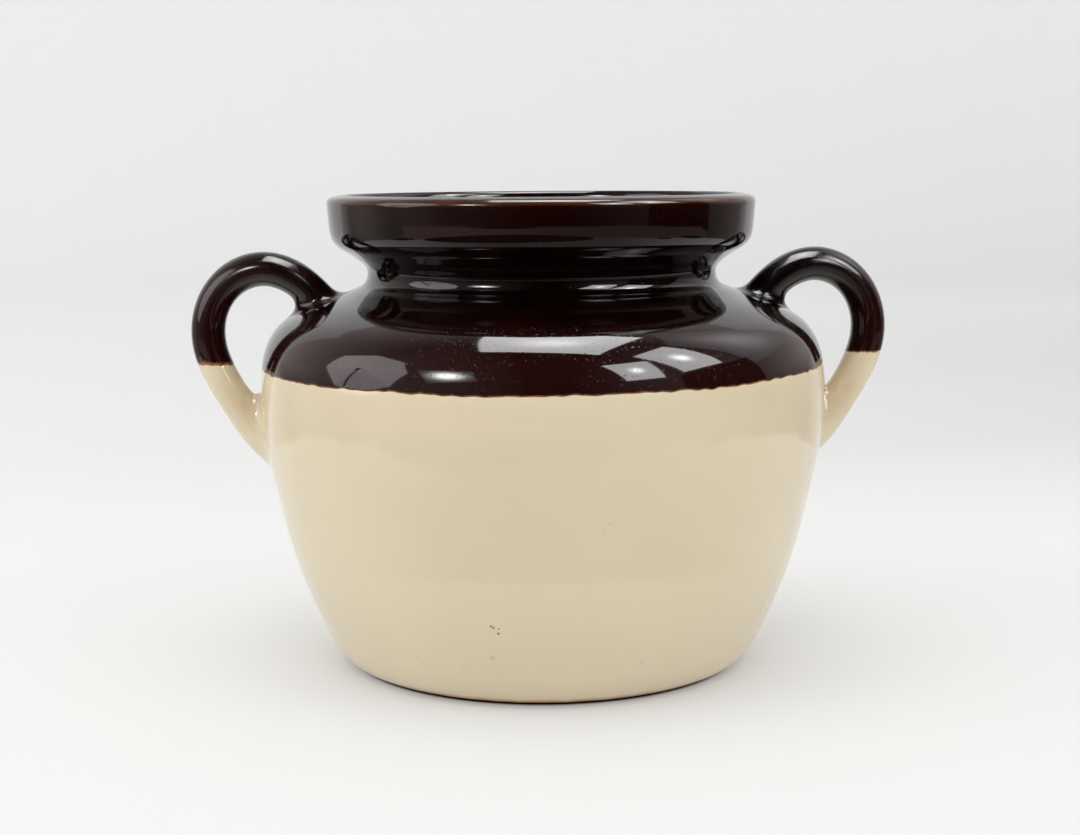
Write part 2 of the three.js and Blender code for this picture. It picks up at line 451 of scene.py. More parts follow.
def line_distance(at, line, normal):
    """Signed distance from places in a plane to a line of points."""
    best = np.full(len(at), 1e9)
    side = np.zeros(len(at))
    for start, step, facing in zip(line[:-1], np.diff(line, axis=0), normal):
        offset = at - start
        share = np.clip((offset @ step) / (step @ step), 0, 1)
        away = offset - share[:, None] * step
        far = (away**2).sum(1)
        nearer = far < best
        best = np.where(nearer, far, best)
        side = np.where(nearer, away @ facing, side)
    return np.sqrt(best) * np.where(side < 0, -1, 1)


def body_distance(points):
    """Signed distance from points to the finished outside of the body."""
    at = np.stack([np.hypot(points[:, 0], points[:, 1]), points[:, 2]], 1)
    return line_distance(at, ROOT_LINE, ROOT_NORMALS)


def handle_distance(points):
    """Signed distance from points to the oval bar of the handle."""
    across = line_distance(points[:, [0, 2]], PATH[::3], PATH_OUT[::3])
    u = across / HANDLE_HALF_THICKNESS
    v = points[:, 1] / HANDLE_HALF_WIDTH
    size = np.sqrt(u * u + v * v) + 1e-9
    slope = np.sqrt((u / HANDLE_HALF_THICKNESS) ** 2 + (v / HANDLE_HALF_WIDTH) ** 2) + 1e-9
    return (size - 1) * size / slope


def fillet_reach(points):
    """Reach of the fillet at points, blended from the places in FILLETS by their distance."""
    away = ((points[:, None, :] - FILLETS[None, :, :3]) ** 2).sum(2) + 1.0
    weight = away**-1.5
    return (weight * FILLETS[:, 3]).sum(1) / weight.sum(1)


def joined_distance(points):
    """Distance to handle and body together, with the fillet between them."""
    handle = handle_distance(points)
    body = body_distance(points)
    reach = fillet_reach(points)
    near = np.clip(reach - np.abs(handle - body), 0, None) / reach
    return np.minimum(handle, body) - near * near * reach / 4


def slope_of(points):
    """Gradient of the joined distance."""
    step = 0.05
    parts = [joined_distance(points + move) - joined_distance(points - move) for move in step * np.eye(3)]
    return np.stack(parts, 1) / (2 * step)


def settled(points, rounds):
    """Points moved onto the joined surface."""
    for _ in range(rounds):
        slope = slope_of(points)
        points = points - slope * (joined_distance(points) / (slope**2).sum(1).clip(0.05))[:, None]
    return points


RING = np.linspace(0, 2 * math.pi, RING_POINTS, endpoint=False)


def bar_points(along):
    """Points of the bar at distances along its path, one for each ring angle in the last axis."""
    centre = np.stack([np.interp(along, PATH_ALONG, PATH[:, axis]) for axis in (0, 1)], -1)
    out = np.stack([np.interp(along, PATH_ALONG, PATH_OUT[:, axis]) for axis in (0, 1)], -1)
    out /= np.linalg.norm(out, axis=-1)[..., None]
    reach = HANDLE_HALF_THICKNESS * np.cos(RING)
    x = centre[..., 0] + out[..., 0] * reach
    z = centre[..., 1] + out[..., 1] * reach
    return np.stack([x, HANDLE_HALF_WIDTH * np.sin(RING) + 0 * x, z], -1)


def body_point(along, sideways):
    """Point of the finished outside, sideways round the body from the +X direction."""
    point, _ = on_outline(along)
    angle = sideways / point[..., 0]
    return np.stack([point[..., 0] * np.cos(angle), point[..., 0] * np.sin(angle), point[..., 1]], -1)


def skirt_ring(centre_along, side):
    """Where the fillet of a root meets the body, for each ring angle."""
    reach = np.linspace(1, 40, 1000)[:, None] + 0 * RING
    points = body_point(centre_along + side * reach * np.cos(RING), reach * np.sin(RING))
    flat = points.reshape(-1, 3)
    outside = (handle_distance(flat) > fillet_reach(flat)).reshape(reach.shape)
    return points[np.argmax(outside, axis=0), np.arange(RING_POINTS)]


def skirt(ring, centre_along, side, count):
    """Rows of points from a ring of the bar out over the fillet to the body."""
    end = skirt_ring(centre_along, side)
    even = np.linspace(0, 1, count + 1)[1:]
    share = (smoothstep(0, 1, even) * 0.5 + even * 0.5)[:, None, None]
    rows = ring[None] * (1 - share) + end[None] * share
    flat = settled(rows[:-1].reshape(-1, 3), 6)
    return np.concatenate([flat.reshape(count - 1, RING_POINTS, 3), end[None]])


def handle_dip(side):
    """Distance along the path of the dip line, for each ring angle."""
    seed, sign = (51, -1) if side == "left" else (71, 1)
    samples = np.linspace(UPPER_RING, LOWER_RING, 300)
    bar = bar_points(np.repeat(samples[:, None], RING_POINTS, 1))
    line = dip_height(sign * bar[..., 0], RING, seed, HANDLE_DIP_RAISE[side])
    below = bar[..., 2] - line
    return np.array([np.interp(0, -below[:, i], samples) for i in range(RING_POINTS)])


def body_along_nearest(point):
    """Distance along the outline of the place nearest to a point of the XZ plane."""
    return FINISHED_ALONG[int(np.argmin(((OUTER - point) ** 2).sum(1)))]


def handle_skirts():
    """Rows of points over the fillets of the upper and the lower root."""
    rings = [bar_points(np.full((1, RING_POINTS), along))[0] for along in (UPPER_RING, LOWER_RING)]
    upper = skirt(rings[0], body_along_nearest(UPPER_ROOT), 1, UPPER_SKIRT_ROWS)
    lower = skirt(rings[1], body_along_nearest(LOWER_ROOT), -1, LOWER_SKIRT_ROWS)
    return upper[::-1], lower


def vertex_normals(grid):
    """Outward unit normals of a grid of rows that close round on themselves."""
    round_ring = np.roll(grid, -1, 1) - np.roll(grid, 1, 1)
    down = np.gradient(grid, axis=0)
    normal = np.cross(down, round_ring)
    return normal / (np.linalg.norm(normal, axis=2)[..., None] + 1e-12)


def set_on_side(points, faces, side):
    """A part of the +X handle, mirrored for the left side and leaning back a little."""
    points = points.copy()
    points[:, 1] += HANDLE_LEAN[side] * smoothstep(*LEAN_BETWEEN, points[:, 0])
    if side == "left":
        points[:, 0] *= -1
        faces = [face[::-1] for face in faces]
    return points, faces


def add_handle_coat(name, rows, normal, lift, side, material, attributes):
    """A coat of glaze over rows of points of the handle, at heights above them."""
    outer = rows + normal * lift[..., None]
    inner = rows + normal * (lift[..., None] - GLAZE)
    points, faces = set_on_side(*closed_shell(outer, inner, False), side)
    doubled = {key: np.tile(values.ravel(), 2) for key, values in attributes.items()}
    return add_piece(name, points, faces, material, doubled)


def brown_handle(side, rows, normal, edge, material):
    lift = brown_lift(edge)
    lift[0] = TUCKED["brown"]
    attributes = {
        "edge": edge * HANDLE_RUST[side],
        "lip": np.full_like(edge, NO_LIP),
        "dull": smoothstep(*DULL_BETWEEN, rows[:, :, 2]),
    }
    return add_handle_coat(f"brown_glaze_handle_{side}", rows, normal, lift, side, material, attributes)


def cream_handle(side, rows, normal, edge, material):
    lift = -SUNK * (1 - smoothstep(-0.8, 0.5, edge))
    lift[-1] = TUCKED["cream"]
    attributes = {"foot_edge": np.full_like(edge, NO_FOOT)}
    return add_handle_coat(f"cream_glaze_handle_{side}", rows, normal, lift, side, material, attributes)


def clay_handle(side, rows, normal, material):
    points, faces = set_on_side(*capped(rows - normal * CLAY_DEPTH), side)
    return add_piece(f"handle_{side}_clay", points, faces, material)


def handle_pieces(side, top, bottom, brown, cream, clay):
    """The brown coat, the cream coat and the clay of a handle, between its two skirts."""
    dip = handle_dip(side)
    up_share = np.concatenate([EDGE_ROWS / 30, np.linspace(FIRST_ROW / 30, 1, 40)])[::-1, None]
    down_share = np.concatenate([EDGE_ROWS / 12, np.linspace(FIRST_ROW / 12, 1, 12)])[:, None]
    above_dip = up_share * (dip[None] - UPPER_RING)
    below_dip = down_share * (LOWER_RING - dip[None])
    upper = bar_points(dip[None] - above_dip)
    lower = bar_points(dip[None] + below_dip)
    whole = np.concatenate([top, upper, lower[1:], bottom])
    normal = vertex_normals(whole)
    split = len(top) + len(upper) - 1
    edge = np.concatenate([np.full((len(top), RING_POINTS), NO_EDGE), above_dip])
    brown_piece = brown_handle(side, whole[: split + 1], normal[: split + 1], edge, brown)
    under = np.array([[-OVERLAP], [-0.5]]) + 0 * dip[None]
    rows = np.concatenate([bar_points(dip[None] + under), whole[split:]])
    normals = np.concatenate([normal[[split, split]], normal[split:]])
    edge = np.concatenate([under, below_dip, np.full((len(bottom), RING_POINTS), NO_EDGE)])
    cream_piece = cream_handle(side, rows, normals, edge, cream)
    return brown_piece, cream_piece, clay_handle(side, whole, normal, clay)


# ---------------------------------------------------------------- materials

def new_material(name):
    material = bpy.data.materials.new(name)
    material.use_nodes = True
    tree = material.node_tree
    return material, tree, tree.nodes["Principled BSDF"]


def emission_material(name):
    """A material that only gives off light."""
    material = bpy.data.materials.new(name)
    material.use_nodes = True
    tree = material.node_tree
    tree.nodes.clear()
    emission = tree.nodes.new("ShaderNodeEmission")
    output = tree.nodes.new("ShaderNodeOutputMaterial")
    tree.links.new(emission.outputs[0], output.inputs["Surface"])
    return material, tree, emission


def noise(tree, coordinates, scale, detail=2.0, roughness=0.5):
    node = tree.nodes.new("ShaderNodeTexNoise")
    node.inputs["Scale"].default_value = scale
    node.inputs["Detail"].default_value = detail
    node.inputs["Roughness"].default_value = roughness
    tree.links.new(coordinates.outputs["Object"], node.inputs["Vector"])
    return node.outputs["Fac"]


def grey_ramp(tree, value, low, high):
    """From black at the low value to white at the high one."""
    node = tree.nodes.new("ShaderNodeValToRGB")
    node.color_ramp.elements[0].position = low
    node.color_ramp.elements[1].position = high
    tree.links.new(value, node.inputs["Fac"])
    return node.outputs["Color"]


def mapped(tree, value, from_low, from_high, to_low=0.0, to_high=1.0):
    node = tree.nodes.new("ShaderNodeMapRange")
    node.inputs["From Min"].default_value = from_low
    node.inputs["From Max"].default_value = from_high
    node.inputs["To Min"].default_value = to_low
    node.inputs["To Max"].default_value = to_high
    tree.links.new(value, node.inputs["Value"])
    return node.outputs["Result"]


def mixed(tree, factor, first, second):
    """Colour mix; first and second are sockets or plain colours."""
    node = tree.nodes.new("ShaderNodeMix")
    node.data_type = "RGBA"
    tree.links.new(factor, node.inputs["Factor"])
    for socket, value in ((node.inputs[6], first), (node.inputs[7], second)):
        if isinstance(value, tuple):
            socket.default_value = (*value, 1)
        else:
            tree.links.new(value, socket)
    return node.outputs[2]


def combined(tree, operation, first, second=0):
    """The result of a math operation; first and second are sockets or plain numbers."""
    node = tree.nodes.new("ShaderNodeMath")
    node.operation = operation
    for socket, value in zip(node.inputs, (first, second)):
        if isinstance(value, (int, float)):
            socket.default_value = value
        else:
            tree.links.new(value, socket)
    return node.outputs[0]


def product(tree, first, second):
    return combined(tree, "MULTIPLY", first, second)


def away_from(tree, value, middle):
    """How far a value is from a middle one."""
    return combined(tree, "ABSOLUTE", combined(tree, "ADD", value, -middle))


def separated(tree, position):
    """The X, Y and Z outputs of a position."""
    parts = tree.nodes.new("ShaderNodeSeparateXYZ")
    tree.links.new(position, parts.inputs[0])
    return parts.outputs["X"], parts.outputs["Y"], parts.outputs["Z"]


def attribute(tree, name):
    node = tree.nodes.new("ShaderNodeAttribute")
    node.attribute_name = name
    return node.outputs["Fac"]


def bumped(tree, height, distance, strength, before=None):
    node = tree.nodes.new("ShaderNodeBump")
    node.inputs["Strength"].default_value = strength
    node.inputs["Distance"].default_value = distance
    tree.links.new(height, node.inputs["Height"])
    if before is not None:
        tree.links.new(before, node.inputs["Normal"])
    return node.outputs["Normal"]


def distance_to(tree, place, point):
    """Distance from a point given in millimetres."""
    node = tree.nodes.new("ShaderNodeVectorMath")
    node.operation = "DISTANCE"
    tree.links.new(place.outputs["Object"], node.inputs[0])
    node.inputs[1].default_value = [value * MM for value in point]
    return node.outputs["Value"]


ARRIS_FROM_CREST = -5.4  # along the outline
LIP_FROM_CREST = -3.0  # the middle of the worn lip


def brown_glaze_colour(tree, place, above_dip, lip):
    """Dark red-brown, redder where it thins towards the dip line and the lip, and rusty where it breaks."""
    mottle = grey_ramp(tree, noise(tree, place, 60, 3), 0.35, 0.7)
    colour = mixed(tree, mottle, (0.0026, 0.0003, 0.0003), (0.0056, 0.0008, 0.0007))
    low = mapped(tree, above_dip, 8, 30, 0.9, 0)
    colour = mixed(tree, low, colour, (0.0150, 0.0030, 0.0026))
    thin = mapped(tree, lip, -15, -6, 0, 0.9)
    colour = mixed(tree, thin, colour, (0.0105, 0.0014, 0.0009))
    wobble = mapped(tree, noise(tree, place, 900, 2), 0.3, 0.7, -0.15, 0.15)
    edge = combined(tree, "ADD", above_dip, wobble)
    rusty = mapped(tree, noise(tree, place, 40, 2), 0.35, 0.65, 0.55, 1)
    rust = product(tree, mapped(tree, edge, 0.14, 0.55, 1, 0), rusty)
    colour = mixed(tree, rust, colour, (0.33, 0.125, 0.033))
    off_arris = away_from(tree, lip, ARRIS_FROM_CREST)
    patchy = mapped(tree, noise(tree, place, 120, 3), 0.3, 0.7, 0.45, 1)
    lip_break = product(tree, mapped(tree, off_arris, 0.35, 1.25, 0.75, 0), patchy)
    return mixed(tree, lip_break, colour, (0.105, 0.036, 0.006))


def brown_glaze_roughness(tree, place, lip):
    """A smeared gloss, duller on the worn lip and on top of the handles."""
    gloss = mapped(tree, noise(tree, place, 35, 4), 0.3, 0.75, 0.035, 0.075)
    worn = mapped(tree, away_from(tree, lip, LIP_FROM_CREST), 2.8, 4.0, 0.04, 0)
    smeared = mapped(tree, noise(tree, place, 90, 3), 0.3, 0.7, 0.06, 0.2)
    dull = product(tree, attribute(tree, "dull"), smeared)
    return combined(tree, "ADD", gloss, combined(tree, "ADD", worn, dull))


def brown_glaze_material():
    material, tree, shader = new_material("brown_glaze")
    place = tree.nodes.new("ShaderNodeTexCoord")
    lip = attribute(tree, "lip")
    colour = brown_glaze_colour(tree, place, attribute(tree, "edge"), lip)
    tree.links.new(colour, shader.inputs["Base Color"])
    tree.links.new(brown_glaze_roughness(tree, place, lip), shader.inputs["Roughness"])
    shader.inputs["IOR"].default_value = 1.55
    wave = bumped(tree, noise(tree, place, 45, 1), 0.0004, 0.25)
    pits = grey_ramp(tree, noise(tree, place, 1500, 1), 0.70, 0.76)
    tree.links.new(bumped(tree, pits, 0.00006, 0.35, wave), shader.inputs["Normal"])
    return material


FINGER_GAP = (96, -3, 88)  # the lower end of the right one, round which the body is coloured darker and browner

# Small marks in the cream glaze: degrees from the front, height, radius, strength, colour.
IRON = (0.10, 0.05, 0.02)
OCHRE = (0.55, 0.33, 0.12)
CREAM_MARKS = [
    (-15.4, 28.5, 0.6, 0.6, IRON), (-14.9, 28.1, 0.6, 0.7, IRON), (-13.8, 27.8, 0.5, 0.6, IRON),
    (-13.9, 26.2, 0.6, 0.8, IRON), (-15.9, 17.9, 1.1, 0.4, OCHRE), (-35.1, 15.6, 0.7, 0.25, OCHRE),
    (-23.2, 14.4, 0.7, 0.2, OCHRE), (18.9, 14.5, 0.8, 0.2, IRON), (7.9, 4.9, 0.8, 0.3, OCHRE),
]


def root_darkening(tree, place, colour):
    """Darker, browner colour on the body beside the two finger gaps."""
    darkening_edge = mapped(tree, noise(tree, place, 150, 3), 0.3, 0.7, 0.45, 1)
    for side in (-1, 1):
        off_gap = distance_to(tree, place, (side * FINGER_GAP[0], *FINGER_GAP[1:]))
        darkening = product(tree, mapped(tree, off_gap, 2 * MM, 13 * MM, 0.5, 0), darkening_edge)
        colour = mixed(tree, darkening, colour, (0.42, 0.28, 0.14))
    return colour


def cream_marks(tree, place, colour):
    """The marks in CREAM_MARKS, and fine specks all over."""
    for angle, z, radius, strength, tone in CREAM_MARKS:
        (across, _), _ = on_outline(along_at_height(z))
        turn = math.radians(angle)
        middle = (across * math.sin(turn), -across * math.cos(turn), z)
        off_mark = distance_to(tree, place, middle)
        mark = mapped(tree, off_mark, 0.4 * radius * MM, radius * MM, strength, 0)
        colour = mixed(tree, mark, colour, tone)
    cells = tree.nodes.new("ShaderNodeTexVoronoi")
    cells.inputs["Scale"].default_value = 100
    tree.links.new(place.outputs["Object"], cells.inputs["Vector"])
    specks = mapped(tree, cells.outputs["Distance"], 0.015, 0.03, 0.5, 0)
    return mixed(tree, specks, colour, (0.20, 0.11, 0.05))


def cream_glaze_material():
    """Warm cream with small marks, a rusty edge at the foot, and below it painted contact shadow, near
    black.
    """
    material, tree, shader = new_material("cream_glaze")
    place = tree.nodes.new("ShaderNodeTexCoord")
    cloud = grey_ramp(tree, noise(tree, place, 14, 4), 0.3, 0.75)
    colour = mixed(tree, cloud, (0.70, 0.60, 0.415), (0.735, 0.635, 0.45))
    colour = root_darkening(tree, place, colour)
    colour = cream_marks(tree, place, colour)
    wobble = mapped(tree, noise(tree, place, 12, 2), 0.3, 0.7, -0.5, 0.5)
    foot = combined(tree, "ADD", attribute(tree, "foot_edge"), wobble)
    colour = mixed(tree, mapped(tree, foot, 2.8, 5.0, 0.85, 0), colour, (0.50, 0.22, 0.07))
    # Painted contact shadow: the lowest glaze, next to the floor, is darkened almost to black.
    colour = mixed(tree, mapped(tree, foot, 1.3, 2.2, 0.95, 0), colour, (0.03, 0.02, 0.015))
    tree.links.new(colour, shader.inputs["Base Color"])
    tree.links.new(mapped(tree, foot, 2.4, 3.6, 0, 0.5), shader.inputs["Specular IOR Level"])
    shader.inputs["Roughness"].default_value = 0.09
    shader.inputs["IOR"].default_value = 1.6
    wave = bumped(tree, noise(tree, place, 40, 1), 0.0004, 0.25)
    tree.links.new(wave, shader.inputs["Normal"])
    return material


def clay_material():
    material, tree, shader = new_material("stoneware_clay")
    place = tree.nodes.new("ShaderNodeTexCoord")
    grain = grey_ramp(tree, noise(tree, place, 500, 4, 0.7), 0.3, 0.75)
    colour = mixed(tree, grain, (0.36, 0.20, 0.10), (0.56, 0.38, 0.22))
    tree.links.new(colour, shader.inputs["Base Color"])
    shader.inputs["Roughness"].default_value = 0.85
    tree.links.new(bumped(tree, grain, 0.0002, 0.5), shader.inputs["Normal"])
    return material


def plain_material(name, colour, roughness):
    material, _, shader = new_material(name)
    shader.inputs["Base Color"].default_value = (*colour, 1)
    shader.inputs["Roughness"].default_value = roughness
    return material


# ---------------------------------------------------------------- stage, lights and camera

EYE = Vector((0, 0, 110))  # the lights' directions are taken from here
AMBIENT = 1.12
ROOM_RADIUS = 6000.0
BLACK = (0.002, 0.002, 0.002)  # of the dark patches
BOARD_BLACK = (0.004, 0.004, 0.004)

# The floor, which curves up into the wall.
FLOOR_COLOUR = (0.53, 0.53, 0.528)
# Painted contact shadow on the floor under the foot: its colour, and the radii between which it fades out.
CONTACT_SHADOW_COLOUR = (0.015, 0.012, 0.01)
CONTACT_SHADOW_RADII = (62.0, 63.8)  # between them the painted contact shadow under the foot fades out
FLOOR_GLOW = (0.25, 0.06)  # fills the shadows; near the crock and behind it on the right
WALL_COLOURS = (0.90, 0.90, 0.90), (0.885, 0.885, 0.885)  # on the left and on the right; the right one is a little darker, painted shade
WALL_GLOW = 0.04  # at the back, fading upwards
SWEEP_BACK = 135  # where the part begins that glossy surfaces see
NEAR_FLOOR = 380.0
SWEEP_RADIUS = 2600.0
SWEEP_BEND = 600.0
SWEEP_TOP = 2200.0

# The table's front as the rim reflects it: angle and radius of its far edge, and dark patches on it, which
# are ovals in polar form: angle, radius, half angle, half radius.
TABLE_NEAR = (130, 420)  # radii of its pale part
TABLE_EDGE = np.array([
    (-79, 930), (-70, 900), (-59, 857), (-43, 797), (-31, 738), (-15, 722), (-2, 767), (24, 793),
    (33, 805), (48, 853), (66, 860), (76, 895), (86, 943), (91, 760),
])
DARK_PATCHES = [(-22, 400, 44, 135), (61, 400, 5, 30), (80, 460, 9, 60), (-79, 430, 8, 45)]


def direction(azimuth, elevation):
    """Unit vector for an angle from the front and a height above the horizon, in degrees."""
    a = math.radians(azimuth)
    e = math.radians(elevation)
    return Vector((math.sin(a) * math.cos(e), -math.cos(a) * math.cos(e), math.sin(e)))


def stage_mesh(name, points, faces, material, attributes=None):
    """A mesh that belongs to the studio and not to the crock."""
    stage = linked(name, smooth_mesh(name, np.asarray(points, float), faces, material, attributes))
    return stage


def sweep_part(name, first, last, outline, material):
    """The part of a turned stage mesh between two angles in degrees."""
    angles = np.radians(np.linspace(first, last, 49))
    grid = turned_points(outline[:, :1], outline[:, 1:], angles[None, :])
    return stage_mesh(name, grid.reshape(-1, 3), grid_faces(len(outline), 49, False), material)


def sweep_glow(tree, across, y, z, height):
    """Fills the shadows on the floor, less behind the crock on the right, and lights the wall's foot."""
    behind = mapped(tree, y, 150 * MM, 450 * MM)
    far_behind = mapped(tree, y, 800 * MM, 1400 * MM, 1, 0.45)
    shaded = product(tree, across, product(tree, behind, far_behind))
    floor = mapped(tree, shaded, 0, 1, *FLOOR_GLOW)
    floor = product(tree, floor, combined(tree, "SUBTRACT", 1.0, height))
    distance = mapped(tree, y, 100 * MM, 700 * MM, 0, WALL_GLOW)
    fading = mapped(tree, z, 100 * MM, 600 * MM, 1, 0.2)
    return combined(tree, "ADD", floor, product(tree, distance, fading))


def sweep_material():
    """A plain pale matt surface that glows a little, with a painted contact shadow where the foot stands on
    it.
    """
    material, tree, shader = new_material("sweep")
    position = tree.nodes.new("ShaderNodeNewGeometry").outputs["Position"]
    x, y, z = separated(tree, position)
    radius = tree.nodes.new("ShaderNodeVectorMath")
    radius.operation = "LENGTH"
    tree.links.new(position, radius.inputs[0])
    # Painted contact shadow: near black under the foot and just beyond it, where the floor also stops
    # glowing.
    unshadowed_floor = mapped(tree, radius.outputs["Value"], *(gap * MM for gap in CONTACT_SHADOW_RADII))
    across = mapped(tree, x, -700 * MM, 900 * MM)
    height = mapped(tree, z, 0, SWEEP_BEND * MM)
    colour = mixed(tree, height, FLOOR_COLOUR, mixed(tree, across, *WALL_COLOURS))
    tree.links.new(mixed(tree, unshadowed_floor, CONTACT_SHADOW_COLOUR, colour), shader.inputs["Base Color"])
    glow = product(tree, sweep_glow(tree, across, y, z, height), unshadowed_floor)
    tree.links.new(glow, shader.inputs["Emission Strength"])
    shader.inputs["Emission Color"].default_value = (1, 1, 0.99, 1)
    shader.inputs["Roughness"].default_value = 1
    shader.inputs["Specular IOR Level"].default_value = 0
    return material


def sweep():
    """A floor that curves up into a wall all round. Glossy surfaces see only its middle and its far back,
    because the room round the camera is dark."""
    material = sweep_material()
    flat = SWEEP_RADIUS - SWEEP_BEND
    floor = [(radius, 0) for radius in (NEAR_FLOOR, 500, 800, 1300, flat)]
    bend = np.radians(np.linspace(0, 90, 16))[1:]
    curve = [(flat + SWEEP_BEND * math.sin(a), SWEEP_BEND * (1 - math.cos(a))) for a in bend]
    outline = np.array(floor + curve + [(SWEEP_RADIUS, SWEEP_TOP)])
    near = np.array([(radius, 0) for radius in (0.5, 60, 120, 240, NEAR_FLOOR)] + [(NEAR_FLOOR + 12, -0.3)])
    sweep_part("sweep_near", 0, 360, near, material)
    sweep_part("sweep_back", SWEEP_BACK, 360 - SWEEP_BACK, outline, material)
    front = sweep_part("sweep_front", -SWEEP_BACK, SWEEP_BACK, outline, material)
    front.visible_glossy = False


def glow_material(name, edge, centre, tint=(1, 1, 1)):
    """Light from a panel's front, from the edge strength to the centre strength by its glow attribute."""
    material, tree, emission = emission_material(name)
    emission.inputs["Color"].default_value = (*tint, 1)
    strength = mapped(tree, attribute(tree, "glow"), 0, 1, edge, centre)
    back = tree.nodes.new("ShaderNodeNewGeometry").outputs["Backfacing"]
    front = combined(tree, "SUBTRACT", 1.0, back)
    tree.links.new(product(tree, strength, front), emission.inputs["Strength"])
    return material


def reflected_only(stage):
    """Keeps a piece of the studio to what glossy surfaces show."""
    stage.visible_camera = False
    stage.visible_diffuse = False
    stage.visible_shadow = False


def panel(name, corners, distance, edge, centre, core=0.35, tint=(1, 1, 1)):
    """A soft light whose four corners lie in the given directions, brighter in its middle."""
    count = 17
    even = np.linspace(0, 1, count)
    u, v = np.meshgrid(even, even, indexing="ij")
    p = [np.array(EYE + direction(*corner) * distance) for corner in corners]
    u3 = u[..., None]
    v3 = v[..., None]
    points = (p[0] * (1 - u3) + p[1] * u3) * (1 - v3) + (p[3] * (1 - u3) + p[2] * u3) * v3
    points = points.reshape(-1, 3)
    faces = grid_faces(count, count, False)
    normal = np.cross(p[1] - p[0], p[3] - p[0])
    if normal @ (np.array(EYE) - points.mean(0)) > 0:
        faces = faces[:, ::-1]
    glow = np.exp(-((2 * u - 1) ** 2 + (2 * v - 1) ** 2) / core**2)
    material = glow_material(name, edge, centre, tint)
    reflected_only(stage_mesh(name, points, faces, material, {"glow": glow.ravel()}))


def umbrella(name, azimuth, elevation, distance, radius, strength):
    """A shallow eight-sided umbrella, each side a little different."""
    centre = np.array(EYE + direction(azimuth, elevation) * distance)
    toward = -np.array(direction(azimuth, elevation))
    side = np.cross(toward, (0, 0, 1))
    side /= np.linalg.norm(side)
    up = np.cross(side, toward)
    depth = toward * radius * 0.25
    points, faces, glow = [], [], []
    for i, shade in enumerate((1.0, 0.92, 1.05, 0.96, 0.86, 0.72, 0.8, 0.94)):
        faces.append((len(points), len(points) + 2, len(points) + 1))
        points.append(centre)
        for a in (math.radians(45 * (i + step) + 12) for step in (0, 1)):
            points.append(centre + radius * (side * math.cos(a) + up * math.sin(a)) + depth)
        glow += [shade * 1.1, shade, shade]
    material = glow_material(name, 0, strength, (1, 0.93, 0.96))
    mesh = stage_mesh(name, points, faces, material, {"glow": glow})
    mesh.data.polygons.foreach_set("use_smooth", np.zeros(len(faces), bool))
    reflected_only(mesh)


def board(name, corners, distance):
    """A dark board that only reflections see."""
    points = [np.array(EYE + direction(*corner) * distance) for corner in corners]
    material = plain_material(name, BOARD_BLACK, 1.0)
    reflected_only(stage_mesh(name, points, [(0, 1, 2, 3)], material))


def table_part(name, near, far, angles, glow, tint):
    """A glowing part of the table between two radii at each angle, seen from above."""
    grid = turned_points(np.stack([near, far]), 0.3, np.radians(angles)[None, :])
    faces = grid_faces(2, len(angles), False)[:, ::-1]
    material = glow_material(name, 0, 1, tint)
    reflected_only(stage_mesh(name, grid.reshape(-1, 3), faces, material, {"glow": np.tile(glow, 2)}))


def table_top():
    """The front of the table as the rim reflects it: pale, then brownish, with dark patches."""
    angles = np.arange(-110, 111, 2.0)
    nearest, middle = (np.full_like(angles, radius) for radius in TABLE_NEAR)
    to_side = smoothstep(25, 85, np.abs(angles))
    table_part("table_near", nearest, middle, angles, 0.36 + 0.54 * to_side, (1, 0.98, 0.96))
    angles = np.linspace(TABLE_EDGE[0, 0], TABLE_EDGE[-1, 0], 86)
    far = np.interp(angles, TABLE_EDGE[:, 0], TABLE_EDGE[:, 1])
    glow = 0.50 - 0.20 * smoothstep(-50, 10, angles)
    table_part("table_far", np.full_like(angles, TABLE_NEAR[1]), far, angles, glow, (1, 0.68, 0.6))
    black = plain_material("dark_patch", BLACK, 1.0)
    sides = 48
    turn = np.linspace(0, 2 * math.pi, sides, endpoint=False)
    for number, (angle, radius, half_angle, half_radius) in enumerate(DARK_PATCHES):
        around = np.radians(angle + half_angle * np.cos(turn))
        ring = turned_points(radius + half_radius * np.sin(turn), 0.6, around)
        reflected_only(stage_mesh(f"dark_patch_{number}", ring, [tuple(range(sides))], black))


def surroundings():
    """Even pale light from all round."""
    world = bpy.data.worlds.new("room")
    bpy.context.scene.world = world
    world.use_nodes = True
    background = world.node_tree.nodes["Background"]
    background.inputs["Color"].default_value = (1, 1, 1, 1)
    background.inputs["Strength"].default_value = AMBIENT


def dim_room():
    """For reflections alone, the dim room in front: brighter to the sides and the back, darker below."""
    material, tree, emission = emission_material("dim_room")
    x, y, z = separated(tree, tree.nodes.new("ShaderNodeNewGeometry").outputs["Position"])
    reach = ROOM_RADIUS * MM
    sideways = combined(tree, "ABSOLUTE", x)
    side_light = mapped(tree, sideways, 0.15 * reach, 0.9 * reach, 0.01, 0.28)
    back_light = mapped(tree, y, 0, 0.9 * reach, 0, 0.68)
    above = mapped(tree, z, 0, 0.16 * reach, 0.4, 1)
    behind = mapped(tree, y, 0.45 * reach, 0.75 * reach)
    beside = mapped(tree, x, -0.7 * reach, -0.95 * reach, 0, 0.85)
    share = combined(tree, "MAXIMUM", combined(tree, "MAXIMUM", above, behind), beside)
    total = product(tree, combined(tree, "ADD", side_light, back_light), share)
    emission.inputs["Color"].default_value = (1, 0.93, 0.9, 1)
    tree.links.new(total, emission.inputs["Strength"])
    heights = np.radians(np.linspace(-89, 89, 33))
    outline = np.stack([ROOM_RADIUS * np.cos(heights), ROOM_RADIUS * np.sin(heights)], 1)
    reflected_only(sweep_part("dim_room", 0, 360, outline, material))


